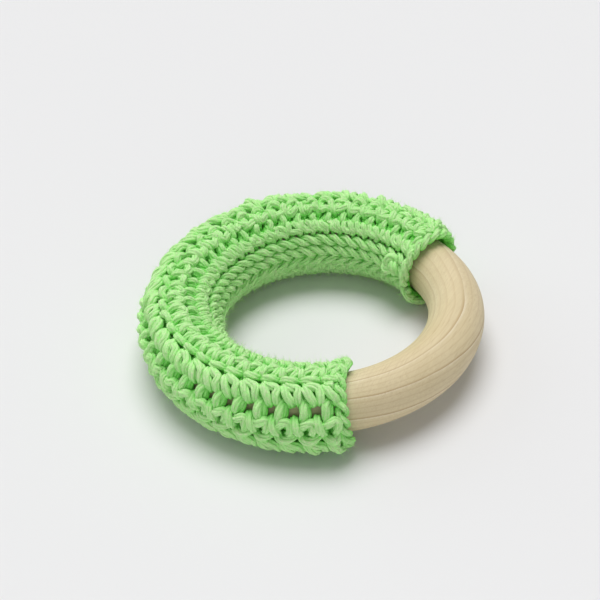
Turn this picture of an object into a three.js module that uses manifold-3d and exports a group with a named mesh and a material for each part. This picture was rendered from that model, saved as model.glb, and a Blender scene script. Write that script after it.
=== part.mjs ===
// A baby's teething ring: a smooth wooden ring whose larger part is wrapped in a crocheted cotton cover.
// The cover is one flat panel, crocheted in rows that run along the ring, bent round the wood and
// closed by a row of whip stitches on the inner side. It is snug, but can be pushed round the wood.
// Millimetres, +Z up. The ring lies flat with its axis along Z, on the plane z = 0, and the bare
// stretch of wood is centred on +X. The origin is the middle of the bottom of the bounding box.
import * as THREE from 'three';
import { mergeVertices } from 'three/addons/utils/BufferGeometryUtils.js';
import Module from 'manifold-3d';

// Driving dimensions
const RING_OUTER_DIAMETER = 70;
const WOOD_THICKNESS = 12;
const COVER_THICKNESS = 3.3; // two layers of 2 mm yarn, pressed together
const BARE_WOOD_DEGREES = 111; // the stretch of the ring that the cover leaves bare
const COVER_UNDER_WOOD = 2.4; // the cover is squashed under the ring's weight where it lies
const SEAM_YARN_DIAMETER = 2;
const GAP = 0.35; // between pieces that touch

// Sizes that follow from them
const WOOD_RADIUS = WOOD_THICKNESS / 2;
const RING_RADIUS = RING_OUTER_DIAMETER / 2 - WOOD_RADIUS; // from the axis to the middle of the wood
const COVER_RADIUS = WOOD_RADIUS + COVER_THICKNESS; // of the cover's cross-section
const AXIS_HEIGHT = WOOD_RADIUS + COVER_UNDER_WOOD; // of the wood's middle over the table
const SEAM_RADIUS = SEAM_YARN_DIAMETER / 2;
const SEAM_OFFSET = COVER_RADIUS - SEAM_RADIUS; // from the middle of the wood to the seam's middle
const HALF_BARE = THREE.MathUtils.degToRad(BARE_WOOD_DEGREES / 2);

// Fineness of the round surfaces
const STEPS_AROUND = 64; // round the ring's axis
const STEPS_OF_SECTION = 24; // round a cross-section of the wood or the cover
const STEPS_OF_SEAM = 8; // round the seam yarn

const wasm = await Module();
wasm.setup();

// A three.js geometry as a solid that can be cut and joined.
function solid(geometry) {
  const bare = geometry.clone();
  bare.deleteAttribute('normal');
  bare.deleteAttribute('uv');
  const merged = mergeVertices(bare, 1e-4);
  return new wasm.Manifold(
    new wasm.Mesh({
      numProp: 3,
      vertProperties: new Float32Array(merged.attributes.position.array),
      triVerts: new Uint32Array(merged.index.array),
    }),
  );
}

// A solid back as a three.js geometry.
function geometryOf(shape) {
  const mesh = shape.getMesh();
  const geometry = new THREE.BufferGeometry();
  geometry.setAttribute('position', new THREE.BufferAttribute(mesh.vertProperties, 3));
  geometry.setIndex(new THREE.BufferAttribute(mesh.triVerts, 1));
  geometry.computeVertexNormals();
  return geometry;
}

// A full turn of a closed cross-section about Z. The path's x is the distance from the axis, and its y is Z.
function turned(path, steps) {
  const outline = path.getPoints(steps / 2); // an arc in a path gets twice the number asked for
  outline.push(outline[0].clone());
  return new THREE.LatheGeometry(outline, STEPS_AROUND).rotateX(Math.PI / 2);
}

// A circle of the given radius, its middle at (distance, height).
function circle(distance, height, radius) {
  return new THREE.Path().absarc(distance, height, radius, 0, 2 * Math.PI, false);
}

// The cover's outer cross-section: a circle cut off by the table that it lies on.
function coverOutline() {
  const cutOff = Math.acos(AXIS_HEIGHT / COVER_RADIUS);
  const start = -Math.PI / 2 + cutOff;
  return new THREE.Path().absarc(RING_RADIUS, 0, COVER_RADIUS, start, start + 2 * (Math.PI - cutOff), false);
}

// A slice that fills the angle between two directions, and reaches past the ring on every side.
function slice(from, to) {
  const reach = RING_OUTER_DIAMETER;
  const outline = new THREE.Shape();
  outline.moveTo(0, 0);
  outline.lineTo(reach * Math.cos(from), reach * Math.sin(from));
  outline.lineTo(reach, 0);
  outline.lineTo(reach * Math.cos(to), reach * Math.sin(to));
  outline.closePath();
  const depth = 4 * COVER_RADIUS;
  return solid(new THREE.ExtrudeGeometry(outline, { depth, bevelEnabled: false }).translate(0, 0, -depth / 2));
}

function woodenRing() {
  return turned(circle(RING_RADIUS, 0, WOOD_RADIUS), STEPS_OF_SECTION);
}

// The panel as it is worn: a tube round the wood, with a groove on the inner side for the seam.
function crochetCover() {
  const outer = solid(turned(coverOutline(), STEPS_OF_SECTION));
  const inner = solid(turned(circle(RING_RADIUS, 0, WOOD_RADIUS + GAP), STEPS_OF_SECTION));
  const groove = solid(turned(circle(RING_RADIUS - SEAM_OFFSET, 0, SEAM_RADIUS + GAP), STEPS_OF_SEAM));
  return geometryOf(outer.subtract(inner).subtract(groove).subtract(slice(-HALF_BARE, HALF_BARE)));
}

// The whip stitches, as the plain round rib that they make along the inner side.
function seamYarn() {
  const rib = solid(turned(circle(RING_RADIUS - SEAM_OFFSET, 0, SEAM_RADIUS), STEPS_OF_SEAM));
  return geometryOf(rib.subtract(slice(-HALF_BARE, HALF_BARE)));
}

function named(name, geometry, material) {
  const mesh = new THREE.Mesh(geometry, material);
  mesh.name = name;
  return mesh;
}

const bareWood = new THREE.MeshStandardMaterial({ color: 0xd9c6a0, roughness: 0.55, metalness: 0 });
const cottonYarn = new THREE.MeshStandardMaterial({ color: 0x9fdc84, roughness: 0.9, metalness: 0 });
const seamCotton = new THREE.MeshStandardMaterial({ color: 0x97d67c, roughness: 0.9, metalness: 0 });

const ring = new THREE.Group();
ring.add(named('wooden_ring', woodenRing(), bareWood));
ring.add(named('crochet_cover', crochetCover(), cottonYarn));
ring.add(named('seam_yarn', seamYarn(), seamCotton));

// The pieces are made about the ring's own axis and mid-plane, and then put on the origin.
const box = new THREE.Box3().setFromObject(ring, true);
const middle = box.getCenter(new THREE.Vector3());
ring.position.set(-middle.x, -middle.y, -box.min.z);

export default ring;
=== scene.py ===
# A baby's teething ring: a bare wooden ring, most of it wrapped in a cover crocheted from light green
# cotton. Every row of stitches is modelled as a yarn of twisted plies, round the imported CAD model.
import math

import bpy
import numpy as np
from mathutils import Matrix, Vector


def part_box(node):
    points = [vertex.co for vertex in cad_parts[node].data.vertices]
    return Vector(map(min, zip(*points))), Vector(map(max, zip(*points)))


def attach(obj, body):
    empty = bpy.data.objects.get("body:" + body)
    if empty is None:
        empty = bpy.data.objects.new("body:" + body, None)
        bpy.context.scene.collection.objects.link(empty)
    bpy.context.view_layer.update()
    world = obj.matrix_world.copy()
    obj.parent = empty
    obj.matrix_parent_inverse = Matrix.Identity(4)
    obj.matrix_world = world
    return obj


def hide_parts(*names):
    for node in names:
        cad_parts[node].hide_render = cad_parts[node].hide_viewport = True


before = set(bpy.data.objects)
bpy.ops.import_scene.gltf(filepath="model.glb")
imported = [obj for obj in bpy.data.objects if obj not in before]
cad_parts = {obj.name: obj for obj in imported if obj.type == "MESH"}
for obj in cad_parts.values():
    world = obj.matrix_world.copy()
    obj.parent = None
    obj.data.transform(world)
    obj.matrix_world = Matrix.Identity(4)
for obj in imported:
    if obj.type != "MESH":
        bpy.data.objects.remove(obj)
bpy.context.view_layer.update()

MM = 0.001
random = np.random.default_rng(7)  # seeded, so that every run gives the same stitches

# The wooden ring, as the CAD model has it, in millimetres
wood_low, wood_high = (np.array(corner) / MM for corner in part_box("wooden_ring"))
WOOD_RADIUS = (wood_high[2] - wood_low[2]) / 2
RING_RADIUS = (wood_high[1] - wood_low[1]) / 2 - WOOD_RADIUS
RING_CENTRE = (wood_low + wood_high) / 2

# The cover. Angles are in degrees: "turn" goes round the ring's axis from the middle of the bare wood,
# and "around" goes round the wood, 0 at the ring's outermost line, 90 on top and 180 innermost.
# "Lift" is a height over the wood, in millimetres.
COVER_START, COVER_END = 55.5, 304.5
BORDER_WIDTH = 2.6  # degrees of turn that the turning chains take at each end
BORDER_TURNS = 9  # of their two strands round each other
STITCHES = 34
HOLES_AFTER_ROW = 3  # the stitches leave a line of holes between this row and the next
OPEN_AT_HOLES = 0.34  # the part of those two rows' width that has no loops on the wood's side
ROW_EDGES = (138, 108, 74, 28, -14, -57, -100, -140, -168)  # where one row meets the next
EDGE_CHAINS = (150, 168.5)  # the chains along the panel's first edge
SEAM = 187  # where the whip stitches join its two edges
KNOT_TURN, KNOT_AROUND = COVER_START + 13, 164  # where the yarn is knotted off
FIRST_TURN = COVER_START + BORDER_WIDTH
PITCH = (COVER_END - COVER_START - 2 * BORDER_WIDTH) / STITCHES

# The yarn, in millimetres
PLIES = 5
PLY_RADIUS = 0.46
PLY_OFFSET = 0.50  # from the yarn's middle to a ply's
TWIST_LENGTH = 17.0  # of yarn for one turn of its plies
PLY_SIDES = 5
SAMPLES = 3  # along the yarn, for each point of a stitch
UNEVENNESS = (0.024, 0.018, 0.08)  # of a stitch's points: in stitches, rows and millimetres
INNER_UNEVENNESS = (0.02, 0.04, 0.03)  # the same for the loops on the wood's side
NEAREST = 0.85  # the height of the yarn's middle where the yarn lies on the wood or the table
CLEARANCE = 0.16  # the least height of the yarn's surface over the wood
USUAL_LIFT = 2  # about how high over the wood the yarn's middle mostly lies
CHAIN_LIFT = 1.2  # of the middle of an edge chain or of the whip stitches
CLOSING_YARN = 0.78  # the thickness of the loops on the wood's side, as a part of a full yarn's
FUZZ_PER_ROW, FUZZ_PER_CHAIN, FUZZ_PER_BORDER = 4000, 600, 400  # loose fibres on each yarn
FUZZ_LENGTHS = (0.4, 1.1)
FUZZ_SPREAD = 0.4  # how far their directions differ
FUZZ_RADIUS = 0.026
FUZZ_STEPS = 2

# One stitch seen from its front: (stitches along the row, rows down, millimetres over the wood).
FRONT_STITCH = (
    (0.02, 0.03, 1.05),  # out from under the bars of the row before
    (0.05, 0.17, 2.10),
    (0.34, 0.20, 2.45),  # a slanting strand over to the next stitch
    (0.60, 0.28, 2.45),
    (0.68, 0.46, 2.45),  # and down, as its upright leg
    (0.75, 0.61, 2.00),
    (0.82, 0.70, 1.15),
    (0.74, 0.55, 0.95),  # back up behind
    (0.78, 0.32, 1.10),
    (0.86, 0.23, 1.70),
    (1.02, 0.31, 2.50),  # the broad slanting leg
    (1.23, 0.50, 2.55),
    (1.36, 0.64, 2.05),
    (1.39, 0.70, 1.15),
    (1.22, 0.68, 0.95),
    (1.00, 0.64, 1.10),
    (0.93, 0.78, 1.80),  # the post between two holes
    (0.92, 0.98, 2.15),
    (0.91, 1.18, 1.90),
    (0.93, 1.30, 1.20),
    (1.07, 1.12, 1.25),  # and up again beside it
    (1.08, 0.88, 1.30),
    (1.04, 0.50, 0.90),
)
# The same for a stitch seen from its back.
BACK_STITCH = (
    (-0.50, 0.26, 1.20),
    (-0.43, 0.35, 2.15),  # the slanting leg
    (-0.33, 0.52, 2.50),
    (-0.27, 0.68, 2.30),
    (-0.25, 0.80, 1.60),
    (-0.22, 0.91, 1.70),
    (-0.02, 0.95, 2.50),  # the bar along the row's far edge
    (0.26, 0.94, 2.45),
    (0.46, 0.89, 1.75),
    (0.54, 0.80, 1.10),
    (0.30, 0.66, 0.95),
    (0.00, 0.56, 1.00),
    (-0.20, 0.54, 1.30),
    (-0.14, 0.45, 2.00),  # the short strand over the top
    (0.05, 0.34, 2.50),
    (0.24, 0.28, 2.35),
    (0.34, 0.36, 2.10),
    (0.34, 0.57, 2.15),  # and down, as the upright leg
    (0.27, 0.76, 1.75),
    (0.24, 0.88, 1.10),
    (0.36, 0.70, 0.90),
    (0.48, 0.40, 0.90),
)
# The loops on the wood's side, which close a stitch everywhere but at the row of holes.
INNER_LOOPS = ((0.00, 0.0, 0.75), (0.25, 1.0, 0.80), (0.50, 0.0, 0.75), (0.75, 1.0, 0.80))

# painted highlights: pale specks scattered at random over the yarn, for fibre ends that catch the light
PAINTED_FIBRE_GLINT = (0.86, 1.0, 0.62, 1)  # the colour of fibre ends that catch the light

# The wood's growth lines, placed so that the two bold ones lie where the photo has them.
LINES_PER_RADIAN = 1.11  # round the wood
LINE_SINKING = 20.0  # radians that they sink in a metre towards +Y, on the ring's outermost line
LINE_WANDER = 0.4  # how far noise moves them, as a part of the way from one line to the next
LINE_START = -0.678  # where the first one lies, in the same measure
FAINT_PER_BOLD = 4.0


# ---- Geometry ----

def on_cover(turn, around, lift):
    """The points, in millimetres, at those angles and that lift."""
    turn = turn + slant(turn, around)
    lift = lift + flare(turn, around)
    turn, around = np.radians(turn), np.radians(around)
    distance = WOOD_RADIUS + lift
    out = RING_RADIUS + distance * np.cos(around)
    height = RING_CENTRE[2] + distance * np.sin(around)
    height = NEAREST + soft_floor(height - NEAREST)
    return np.stack([RING_CENTRE[0] + out * np.cos(turn), RING_CENTRE[1] + out * np.sin(turn), height], -1)


def soft_floor(height, softness=0.25):
    """The height itself well over 0, and nearly 0 below it, with a smooth change between."""
    return softness * np.logaddexp(0, height / softness)


def bump(angle, middle, width):
    """1 at the middle angle, and falling smoothly to 0 on both sides of it."""
    away = (angle - middle + 180) % 360 - 180
    return np.exp(-(away / width) ** 2)


def drift(turn, around):
    """How far, in degrees, the rows wander round the wood, as a hand-made panel's do."""
    wander = 1.6 * np.sin(np.radians(turn * 2.3 + 40)) + 0.8 * np.sin(np.radians(turn * 5.1))
    return wander - 12 * bump(turn, 215, 45) * bump(around, 70, 45)


def slant(turn, around):
    """How far, in degrees of turn, the cover's two ends run askew."""
    back = bump(turn, COVER_START, 16) * (6.0 * bump(around, 5, 65) - 2.0 * bump(around, 190, 40))
    front = bump(turn, COVER_END, 14) * (6.0 * bump(around, 128, 36) + 1.5 * bump(around, -40, 25))
    return back + front


def fullness(turn, around):
    """How much fatter than usual the cover is, as a part of its thickness. It is stretched thin inside."""
    back = 1.1 * bump(turn, 150, 82) * bump(around, 30, 60)
    front_end = 0.55 * bump(turn, 294, 24) * bump(around, -50, 50)
    return back + front_end - 0.60 * bump(around, 170, 72) - 0.40 * bump(around, 234, 30)


def usual_lift(points):
    """How far off the wood the points would be if the cover were as thick everywhere as it mostly is."""
    x, y, height = (points - RING_CENTRE).T
    out = np.hypot(x, y) - RING_RADIUS
    turn, around = np.degrees(np.arctan2(y, x)), np.degrees(np.arctan2(height, out))
    return NEAREST + (np.hypot(out, height) - WOOD_RADIUS - NEAREST) / (1 + fullness(turn, around))


def clear_of_wood(points):
    """The points, with those that would be inside the wood or the table moved out to its surface."""
    x, y, height = (points - RING_CENTRE).T
    flat = np.hypot(x, y)
    out = flat - RING_RADIUS
    from_middle = np.hypot(out, height)
    push = np.maximum(from_middle, WOOD_RADIUS + CLEARANCE) / from_middle
    flat_push = (RING_RADIUS + out * push) / flat
    moved = RING_CENTRE + np.stack([x * flat_push, y * flat_push, height * push], -1)
    moved[:, 2] = np.maximum(moved[:, 2], 0.0)
    return moved


def flare(turn, around):
    """How far the cover's two ends stand off the wood, in millimetres."""
    back = bump(turn, COVER_START, 6) * (0.5 * bump(around, 70, 45) + 0.2)
    front = bump(turn, COVER_END, 4) * (0.3 * bump(around, 120, 35) + 0.4 * bump(around, -40, 35))
    return back + front


def unit(vectors):
    """The same directions, with a length of 1."""
    return vectors / np.linalg.norm(vectors, axis=-1, keepdims=True)


def smooth(points, samples):
    """A Catmull-Rom curve through the points, with that many samples from each to the next."""
    ends = 2 * points[0] - points[1], 2 * points[-1] - points[-2]
    p = np.concatenate([ends[:1], points, ends[1:]])
    t = (np.arange(samples) / samples)[None, :, None]
    a, b, c, d = (p[i:len(p) - 3 + i, None] for i in range(4))
    bent, twisted = 2 * a - 5 * b + 4 * c - d, 3 * b - a - 3 * c + d
    curve = 0.5 * (2 * b + (c - a) * t + bent * t ** 2 + twisted * t ** 3)
    return np.concatenate([curve.reshape(-1, points.shape[1]), points[-1:]])


def frames(path):
    """Two directions across the path at each of its points, which turn as little as they can."""
    tangent = unit(np.gradient(path, axis=0))
    across = np.zeros_like(path)
    first = np.cross(tangent[0], (0.3, 0.5, 0.8))
    across[0] = first / np.linalg.norm(first)
    for i in range(1, len(path)):
        side = across[i - 1] - tangent[i] * (across[i - 1] @ tangent[i])
        across[i] = side / np.linalg.norm(side)
    return across, np.cross(tangent, across)


def loose_fibres(path, count):
    """Middle lines of fibres that curl out of a yarn, the steps along them, and their two directions."""
    where = random.integers(1, len(path) - 1, count)
    root, ahead = path[where], unit(path[where + 1] - path[where - 1])
    turn = np.arctan2(root[:, 1] - RING_CENTRE[1], root[:, 0] - RING_CENTRE[0])
    core = RING_CENTRE + RING_RADIUS * np.stack([np.cos(turn), np.sin(turn), 0 * turn], -1)
    away = unit(root - core)
    away = away + random.normal(0, FUZZ_SPREAD, away.shape)
    bend = random.normal(0, 1, away.shape)
    length = random.uniform(*FUZZ_LENGTHS, (count, 1))
    along = ahead * random.choice([-1, 1], (count, 1))
    steps = np.linspace(0, 1, FUZZ_STEPS + 1)[:, None, None]
    out_of_yarn = 0.55 * away
    curl = steps * (out_of_yarn + 0.7 * along) + steps ** 2 * 0.35 * bend
    middle = root + out_of_yarn + length * curl
    middle[..., 2] = np.maximum(middle[..., 2], FUZZ_RADIUS)
    return middle, steps, along, away


class Surface:
    """Gathers tubes into one mesh, with each vertex's place on its ply for the material."""

    def __init__(self):
        self.points, self.faces, self.grain, self.count = [], [], [], 0

    def tube(self, middle, radius, across, up, along, tint):
        """One ply along its middle line, closed at both ends."""
        sides = PLY_SIDES
        angles = 2 * np.pi * np.arange(sides) / sides
        cosines, sines = np.cos(angles)[None, :, None], np.sin(angles)[None, :, None]
        ring = cosines * across[:, None] + sines * up[:, None]
        self.points.append((middle[:, None] + radius[:, None, None] * ring).reshape(-1, 3))
        place = np.zeros((len(middle), sides, 4))
        place[..., 0], place[..., 1] = np.cos(angles), np.sin(angles)
        place[..., 2], place[..., 3] = along[:, None], tint
        self.grain.append(place.reshape(-1, 4))
        here = self.count + np.arange((len(middle) - 1) * sides).reshape(-1, sides)
        there = np.roll(here, -1, axis=1)
        self.faces += np.stack([here, there, there + sides, here + sides], -1).reshape(-1, 4).tolist()
        last = self.count + (len(middle) - 1) * sides
        self.faces.append(list(range(self.count + sides - 1, self.count - 1, -1)))
        self.faces.append(list(range(last, last + sides)))
        self.count += len(middle) * sides

    def yarn(self, path, thickness=1.0, plies=PLIES):
        """A yarn of twisted plies along the path."""
        across, up = frames(path)
        along = np.concatenate([[0], np.cumsum(np.linalg.norm(np.diff(path, axis=0), axis=1))])
        start = random.uniform(0, 100)
        for ply in range(plies):
            angle = (2 * np.pi * (ply / plies + along / TWIST_LENGTH))[:, None]
            middle = path + thickness * PLY_OFFSET * (np.cos(angle) * across + np.sin(angle) * up)
            lumps = 0.07 * np.sin(along * 1.7 + start + 2 * ply)
            radius = thickness * PLY_RADIUS * (1 + lumps + 0.05 * np.sin(along * 0.63 + 5 * ply))
            tint = random.uniform(0, 1)
            self.tube(middle, radius, across, up, along + start + 31 * ply, tint)

    def fuzz(self, path, count):
        """Loose fibres on a yarn along the path, each a three-sided tube that thins towards its tip."""
        middle, steps, along, away = loose_fibres(path, count)
        side = unit(np.cross(along, away))
        up = np.cross(along, side)
        thirds = (0.0, 2.1, 4.2)  # of a turn round the fibre
        corners = [np.cos(angle) * side + np.sin(angle) * up for angle in thirds]
        thickness = FUZZ_RADIUS * (1.15 - steps)
        points = np.stack([middle + thickness * corner for corner in corners], 2).transpose(1, 0, 2, 3)
        self.points.append(points.reshape(-1, 3))
        self.grain.append(np.tile((1.0, 0.0, 0.5, 0.0), (points[..., 0].size, 1)))
        first = self.count + np.arange(count)[:, None, None] * 3 * (FUZZ_STEPS + 1)
        here = first + np.arange(FUZZ_STEPS)[:, None] * 3 + np.arange(3)
        there = first + np.arange(FUZZ_STEPS)[:, None] * 3 + (np.arange(3) + 1) % 3
        self.faces += np.stack([here, there, there + 3, here + 3], -1).reshape(-1, 4).tolist()
        self.count += points[..., 0].size

    def piece(self, name, body, node, material):
        """The mesh as a shown piece that rides on a CAD body and stands for a CAD node."""
        mesh = bpy.data.meshes.new(name)
        points = clear_of_wood(np.concatenate(self.points))
        mesh.from_pydata((points * MM).tolist(), [], self.faces)
        mesh.shade_smooth()
        values = np.concatenate(self.grain)
        grain = mesh.attributes.new("grain", "FLOAT_VECTOR", "POINT")
        grain.data.foreach_set("vector", values[:, :3].astype(np.float32).ravel())
        # the lift also sets how much painted crevice shade the yarn gets
        for attribute, numbers in (("lift", usual_lift(points)), ("tint", values[:, 3])):
            layer = mesh.attributes.new(attribute, "FLOAT", "POINT")
            layer.data.foreach_set("value", numbers.astype(np.float32))
        show(mesh, name, body, node, material)


def show(mesh, name, body, node, material):
    """The mesh put in the scene, on a CAD body and in the place of a CAD node."""
    mesh.materials.append(material)
    shown = bpy.data.objects.new(name, mesh)
    bpy.context.scene.collection.objects.link(shown)
    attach(shown, body)
    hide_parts(node)


# ---- The crocheted cover ----

def row_yarn(stitch, top, bottom):
    """The path of one row's yarn: the stitch again and again, no two alike, least of all at the back."""
    pattern = np.array(stitch)
    points = np.concatenate([pattern + (i + 0.5, 0, 0) for i in range(-1, STITCHES)])
    messier = 1 + 1.2 * bump(FIRST_TURN + PITCH * points[:, :1], 140, 70)
    points += random.normal(0, 1, points.shape) * UNEVENNESS * messier
    within = (points[:, 0] > 0.05) & (points[:, 0] < STITCHES - 0.05)
    return panel_path(smooth(points[within], SAMPLES), top, bottom)


def inner_yarn(top, bottom):
    """The path of the loops on the wood's side between those angles round it."""
    pattern = np.array(INNER_LOOPS)
    points = np.concatenate([pattern + (i, 0, 0) for i in range(STITCHES)])
    points += random.normal(0, 1, points.shape) * INNER_UNEVENNESS
    return panel_path(smooth(points, SAMPLES), top, bottom)


def panel_path(curve, top, bottom):
    """A curve in (stitches, rows, lift) laid on the ring, between those angles round the wood."""
    turn = FIRST_TURN + PITCH * curve[:, 0]
    around = top + (bottom - top) * curve[:, 1]
    around = around + drift(turn, around)
    lift = NEAREST + (curve[:, 2] - NEAREST) * (1 + fullness(turn, around))
    return on_cover(turn, around, lift)


def crochet_rows(material):
    """The panel's rows, from its first edge round the outside of the ring to its last edge."""
    for number, (top, bottom) in enumerate(zip(ROW_EDGES, ROW_EDGES[1:]), 1):
        row = Surface()
        front = number % 2 == 1
        path = row_yarn(FRONT_STITCH if front else BACK_STITCH, top, bottom)
        room = 1 + (WOOD_RADIUS + USUAL_LIFT) / RING_RADIUS * math.cos(math.radians((top + bottom) / 2))
        row.yarn(path, min(1.0, 0.9 * room))  # thinner where the stitches crowd together inside the ring
        row.fuzz(path, FUZZ_PER_ROW)
        start = OPEN_AT_HOLES if number == HOLES_AFTER_ROW + 1 else 0.0
        end = 1.0 - OPEN_AT_HOLES if number == HOLES_AFTER_ROW else 1.0
        loops = inner_yarn(top + start * (bottom - top), top + end * (bottom - top))
        row.yarn(loops, CLOSING_YARN, plies=3)
        row.piece(f"cover_row_{number}", "cover", "crochet_cover", material)


def rope(surface, around, hand, radius=0.56, thickness=0.76):
    """Two strands laid round each other along the ring, which is how a chain of stitches shows."""
    steps = np.arange(0, STITCHES, 0.125)
    turn = FIRST_TURN + PITCH * steps
    start = random.uniform(0, np.pi)
    tilt = np.degrees(radius / (WOOD_RADIUS + CHAIN_LIFT))
    for strand in range(2):
        lay = start + hand * np.pi * steps + strand * np.pi
        wobble = random.normal(0, 0.05, (2, len(steps)))
        angle = around + drift(turn, around) + tilt * (1.25 * np.cos(lay) + wobble[0])
        lift = CHAIN_LIFT + radius * np.sin(lay) + wobble[1]
        path = on_cover(*smooth(np.stack([turn, angle, lift], -1), 2).T)
        surface.yarn(path, thickness, plies=4)
        surface.fuzz(path, FUZZ_PER_CHAIN)


def edge_chains(material):
    """The chains along the panel's first edge, with loops behind them that close the way to the wood."""
    chains = Surface()
    for around in EDGE_CHAINS:
        rope(chains, around, 1)
    chains.yarn(inner_yarn(ROW_EDGES[0] - 2, SEAM + 6), 0.50, plies=3)
    chains.piece("cover_edge_chains", "cover", "crochet_cover", material)


def turning_chains(name, end, outwards, material):
    """The border at one end of the cover: the yarn's way from each row to the next, as two strands."""
    border = Surface()
    steps = np.linspace(0, BORDER_TURNS, 12 * BORDER_TURNS + 1)
    start = SEAM - 4
    around = start + (ROW_EDGES[-1] - start) * steps / BORDER_TURNS
    for strand in range(2):
        lay = 2 * np.pi * (steps + strand / 2) * outwards
        turn = end - outwards * (1.7 + 1.3 * np.cos(lay)) + random.normal(0, 0.12, len(steps))
        lift = 1.65 + 0.55 * np.sin(lay) + random.normal(0, 0.06, len(steps))
        path = on_cover(*smooth(np.stack([turn, around, lift], -1), 4).T)
        border.yarn(path, 0.72)
        border.fuzz(path, FUZZ_PER_BORDER)
    border.piece(name, "cover", "crochet_cover", material)


def knot(surface, turn, around, size=0.58):
    """A lump where the yarn is knotted off, of about six times the given size, as a trefoil."""
    lap = np.linspace(0, 2 * np.pi, 80)
    along = size * (np.sin(lap) + 2 * np.sin(2 * lap))
    down = size * (np.cos(lap) - 2 * np.cos(2 * lap))
    turn = turn + np.degrees(along / (RING_RADIUS - WOOD_RADIUS))
    around = around + np.degrees(down / (WOOD_RADIUS + USUAL_LIFT))
    surface.yarn(on_cover(turn, around, 2.2 - size * np.sin(3 * lap)), 1.15)


def whip_stitches(material):
    """The yarn that sews the panel's two long edges together on the inner side."""
    seam = Surface()
    rope(seam, SEAM, -1)
    knot(seam, KNOT_TURN, KNOT_AROUND)
    seam.piece("seam_whip_stitches", "cover", "seam_yarn", material)


# ---- The wooden ring ----

def wooden_ring(material):
    """A torus with faint flats and ridges left by the sanding, just inside the CAD's."""
    turns, sides = 320, 72
    ridge, depth = 0.035, 0.05  # the height of the ridges, and how far inside the CAD's surface they lie
    turn = np.repeat(np.arange(turns) * 2 * np.pi / turns, sides)
    around = np.tile(np.arange(sides) * 2 * np.pi / sides, turns)
    radius = WOOD_RADIUS + ridge * np.sin(5 * around + 0.4 * np.sin(2 * turn)) - depth
    out = RING_RADIUS + radius * np.cos(around)
    points = RING_CENTRE + np.stack([out * np.cos(turn), out * np.sin(turn), radius * np.sin(around)], -1)
    here = np.arange(turns * sides).reshape(turns, sides)
    there, up = np.roll(here, -1, 0), np.roll(here, -1, 1)
    faces = np.stack([here, there, np.roll(there, -1, 1), up], -1).reshape(-1, 4)
    mesh = bpy.data.meshes.new("bare_wooden_ring")
    mesh.from_pydata((points * MM).tolist(), [], faces.tolist())
    mesh.shade_smooth()
    show(mesh, "bare_wooden_ring", "ring", "wooden_ring", material)


# ---- Materials ----

class Nodes:
    """A material's node tree, with short ways to add to it."""

    def __init__(self, name):
        self.material = bpy.data.materials.new(name)
        self.material.use_nodes = True
        self.tree = self.material.node_tree
        self.shader = self.tree.nodes["Principled BSDF"]

    def add(self, kind, inputs=None, **settings):
        node = self.tree.nodes.new(kind)
        for key, value in settings.items():
            setattr(node, key, value)
        for key, value in (inputs or {}).items():
            self.set(node.inputs[key], value)
        return node

    def shade(self, inputs):
        """Sets inputs of the material's own shader."""
        for key, value in inputs.items():
            self.set(self.shader.inputs[key], value)

    def set(self, socket, value):
        if isinstance(value, bpy.types.NodeSocket):
            self.tree.links.new(value, socket)
        else:
            socket.default_value = value

    def mix(self, factor, a, b):
        node = self.add("ShaderNodeMix", data_type="RGBA")
        for key, value in ((0, factor), (6, a), (7, b)):
            self.set(node.inputs[key], value)
        return node.outputs[2]

    def noise(self, vector, scale, detail, roughness=0.5):
        inputs = {"Vector": vector, "Scale": scale, "Detail": detail, "Roughness": roughness}
        return self.add("ShaderNodeTexNoise", inputs).outputs["Fac"]

    def range(self, value, low, high, to_low=0.0, to_high=1.0):
        inputs = {"Value": value, "From Min": low, "From Max": high, "To Min": to_low, "To Max": to_high}
        return self.add("ShaderNodeMapRange", inputs).outputs[0]

    def scaled(self, vector, scale):
        return self.add("ShaderNodeMapping", {"Vector": vector, "Scale": scale}).outputs[0]

    def math(self, operation, *values):
        return self.add("ShaderNodeMath", dict(enumerate(values)), operation=operation).outputs[0]

    def vector_math(self, operation, *values):
        return self.add("ShaderNodeVectorMath", dict(enumerate(values)), operation=operation).outputs

    def bump(self, height, strength, distance):
        inputs = {"Height": height, "Strength": strength, "Distance": distance}
        return self.add("ShaderNodeBump", inputs).outputs[0]

    def attribute(self, name, kind="Fac"):
        return self.add("ShaderNodeAttribute", attribute_name=name).outputs[kind]

    def position(self):
        return self.add("ShaderNodeNewGeometry").outputs["Position"]


def cotton(name, light, deep, inside):
    """Soft plied cotton with a faint sheen."""
    n = Nodes(name)
    colour, fibres, speckle = cotton_colour(n, light, deep, inside)
    n.shade({
        "Base Color": colour,
        "Roughness": n.range(fibres, 0.3, 0.7, 0.62, 0.85),
        "Normal": n.bump(n.math("ADD", fibres, speckle), 0.9, 0.00016),
        "Specular IOR Level": 0.35,
        "Subsurface Weight": 0.12,
        "Subsurface Radius": (0.4, 1.0, 0.3),
        "Subsurface Scale": 0.0012,
        "Sheen Weight": 0.12,
        "Sheen Tint": (0.65, 1.0, 0.5, 1),
        "Sheen Roughness": 0.5,
    })
    return n.material


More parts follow.
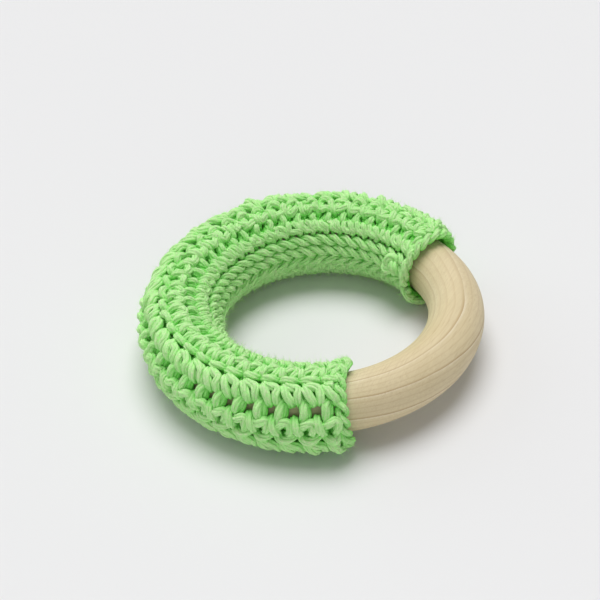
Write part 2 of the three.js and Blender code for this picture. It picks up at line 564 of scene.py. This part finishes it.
def cotton_colour(n, light, deep, inside):
    """The colour of cotton, and its fine fibres and specks. Near the wood it takes the inside colour, a
    painted shade for the yarn down in the crevices.
    """
    grain = n.attribute("grain", "Vector")
    where = n.position()
    fibres = n.noise(n.scaled(grain, (1, 1, 0.22)), 3.2, 4.0, 0.6)  # they run along each ply
    slubs = n.noise(n.scaled(grain, (0.4, 0.4, 0.5)), 1.0, 2.0)
    patches = n.noise(where, 160.0, 2.0)
    speckle = n.noise(where, 2400.0, 2.0)
    colour = n.mix(n.range(fibres, 0.38, 0.60), deep, light)
    colour = n.mix(n.range(slubs, 0.3, 0.7, 0.0, 0.35), colour, light)
    colour = n.mix(n.range(n.attribute("tint"), 0.0, 1.0, 0.0, 0.22), colour, deep)  # each ply's own
    colour = n.mix(n.range(patches, 0.35, 0.7, 0.0, 0.25), colour, deep)
    # painted highlights: the palest specks take the fibre-glint colour
    colour = n.mix(n.range(speckle, 0.54, 0.66, 0.0, 0.40), colour, PAINTED_FIBRE_GLINT)
    colour = n.mix(n.range(speckle, 0.46, 0.34, 0.0, 0.55), colour, deep)
    # painted shade: yarn that lies low, near the wood and deep in the crevices, turns towards the dark
    # saturated inside colour
    colour = n.mix(n.range(n.attribute("lift"), 0.9, 2.9, 0.95, 0.0), colour, inside)
    return colour, fibres, speckle


def bare_wood():
    """Pale hardwood: growth lines, some bolder than others, and fine fibres along Y."""
    n = Nodes("bare_wood")
    where = n.position()
    lines, pale = growth_lines(n, where)
    fibres = n.noise(n.scaled(where, (2600, 160, 2600)), 1.0, 3.0, 0.6)
    pores = n.range(n.noise(n.scaled(where, (5200, 260, 5200)), 1.0, 1.0), 0.60, 0.72)
    cloud = n.noise(n.scaled(where, (90, 45, 90)), 1.0, 3.0)
    colour = n.mix(n.range(cloud, 0.3, 0.7), (0.70, 0.585, 0.355, 1), (0.77, 0.66, 0.435, 1))
    colour = n.mix(n.range(lines, 0.0, 1.0, 0.0, 0.85), colour, (0.45, 0.29, 0.13, 1))
    colour = n.mix(n.range(pale, 0.0, 1.0, 0.0, 0.6), colour, (0.88, 0.80, 0.62, 1))
    colour = n.mix(n.range(fibres, 0.35, 0.65, 0.0, 0.35), colour, (0.60, 0.48, 0.29, 1))
    colour = n.mix(n.range(pores, 0.0, 1.0, 0.0, 0.30), colour, (0.50, 0.37, 0.20, 1))
    n.shade({
        "Base Color": colour,
        "Roughness": n.range(fibres, 0.3, 0.7, 0.5, 0.65),
        "Normal": n.bump(fibres, 0.25, 0.00005),
        "Specular IOR Level": 0.3,
    })
    return n.material


def growth_lines(n, where):
    """How dark each place is with growth lines, and how much of the pale edge of a bold line it has."""
    middle = n.vector_math("SUBTRACT", where, tuple(RING_CENTRE * MM))[0]
    flat = n.vector_math("MULTIPLY", middle, (1, 1, 0))[0]
    out = n.math("SUBTRACT", n.vector_math("LENGTH", flat)["Value"], RING_RADIUS * MM)
    parts = n.add("ShaderNodeSeparateXYZ", {"Vector": middle}).outputs
    around = n.math("ARCTAN2", parts["Z"], out)
    slope = n.math("MULTIPLY", n.math("COSINE", around), LINE_SINKING)
    sunk = n.math("MULTIPLY_ADD", parts["Y"], slope, around)
    wander = n.noise(n.scaled(where, (50, 30, 50)), 1.0, 2.0)
    start = n.math("MULTIPLY_ADD", wander, LINE_WANDER, LINE_START)
    layers = n.math("MULTIPLY_ADD", sunk, LINES_PER_RADIAN, start)
    within = n.math("FRACT", layers)
    boldness = n.range(wander, 0.40, 0.60, 0.35, 1.0)
    bold = n.math("MULTIPLY", n.range(within, 0.01, 0.10, 1.0, 0.0), boldness)
    pale = n.math("MULTIPLY", n.range(within, 0.90, 0.99), boldness)
    faint = n.range(n.math("FRACT", n.math("MULTIPLY", layers, FAINT_PER_BOLD)), 0.05, 0.35, 0.25, 0.0)
    return n.math("MAXIMUM", bold, faint), pale


# ---- The stage ----

def floor():
    """A wide pale table."""
    n = Nodes("pale_table")
    n.shade({"Base Color": (0.79, 0.79, 0.795, 1), "Roughness": 0.7, "Specular IOR Level": 0.2})
    mesh = bpy.data.meshes.new("table")
    reach = 30.0  # so far that its edge doesn't show in a low view
    corners = [(-reach, -reach, 0), (reach, -reach, 0), (reach, reach, 0), (-reach, reach, 0)]
    mesh.from_pydata(corners, [], [(0, 1, 2, 3)])
    mesh.materials.append(n.material)
    table = bpy.data.objects.new("table", mesh)
    bpy.context.scene.collection.objects.link(table)


def far_light(name, toward, strength, spread):
    """A broad soft light from far off, in the direction given."""
    light = bpy.data.lights.new(name, "SUN")
    light.energy, light.angle = strength, math.radians(spread)
    lamp = bpy.data.objects.new(name, light)
    lamp.rotation_euler = Vector(toward).to_track_quat("Z", "Y").to_euler()
    bpy.context.scene.collection.objects.link(lamp)


def lighting():
    world = bpy.data.worlds.new("studio")
    bpy.context.scene.world = world
    world.use_nodes = True
    background = world.node_tree.nodes["Background"]
    background.inputs["Color"].default_value = (1.0, 1.0, 1.0, 1)
    background.inputs["Strength"].default_value = 0.24
    far_light("overhead_softbox", (-0.16, 0.30, 1.0), 2.38, 46)
    far_light("front_softbox", (0.34, -0.56, 0.20), 0.56, 50)
    far_light("side_softbox", (-0.90, 0.10, 0.40), 0.46, 50)
    bpy.context.scene.view_settings.view_transform = "Standard"


def camera(azimuth=28.0, elevation=37.7, distance=0.348, roll=3.8, lens=97.5):
    a, e = math.radians(azimuth), math.radians(elevation)
    back = Vector((math.sin(a) * math.cos(e), -math.cos(a) * math.cos(e), math.sin(e)))
    data = bpy.data.cameras.new("camera")
    data.lens, data.sensor_width = lens, 36
    data.shift_x, data.shift_y = -0.034, 0.026
    data.clip_start = 0.01
    taker = bpy.data.objects.new("camera", data)
    aim = back.to_track_quat("Z", "Y").to_matrix().to_4x4()
    middle = Vector(RING_CENTRE * MM)
    place = Matrix.Translation(middle + distance * back)
    taker.matrix_world = place @ aim @ Matrix.Rotation(-math.radians(roll), 4, "Z")
    bpy.context.scene.collection.objects.link(taker)
    bpy.context.scene.camera = taker


camera()
lighting()
floor()
wooden_ring(bare_wood())
# the third colour is painted shade, for the yarn down in its crevices near the wood
yarn = cotton("cotton_yarn", (0.70, 1.0, 0.50, 1), (0.41, 0.97, 0.27, 1), (0.16, 0.84, 0.07, 1))
crochet_rows(yarn)
edge_chains(yarn)
turning_chains("cover_border_back", COVER_START, -1, yarn)
turning_chains("cover_border_front", COVER_END, 1, yarn)
# its third colour too is painted shade, for the yarn down in its crevices
whip_stitches(cotton("seam_cotton", (0.68, 0.99, 0.48, 1), (0.39, 0.95, 0.26, 1), (0.17, 0.89, 0.08, 1)))
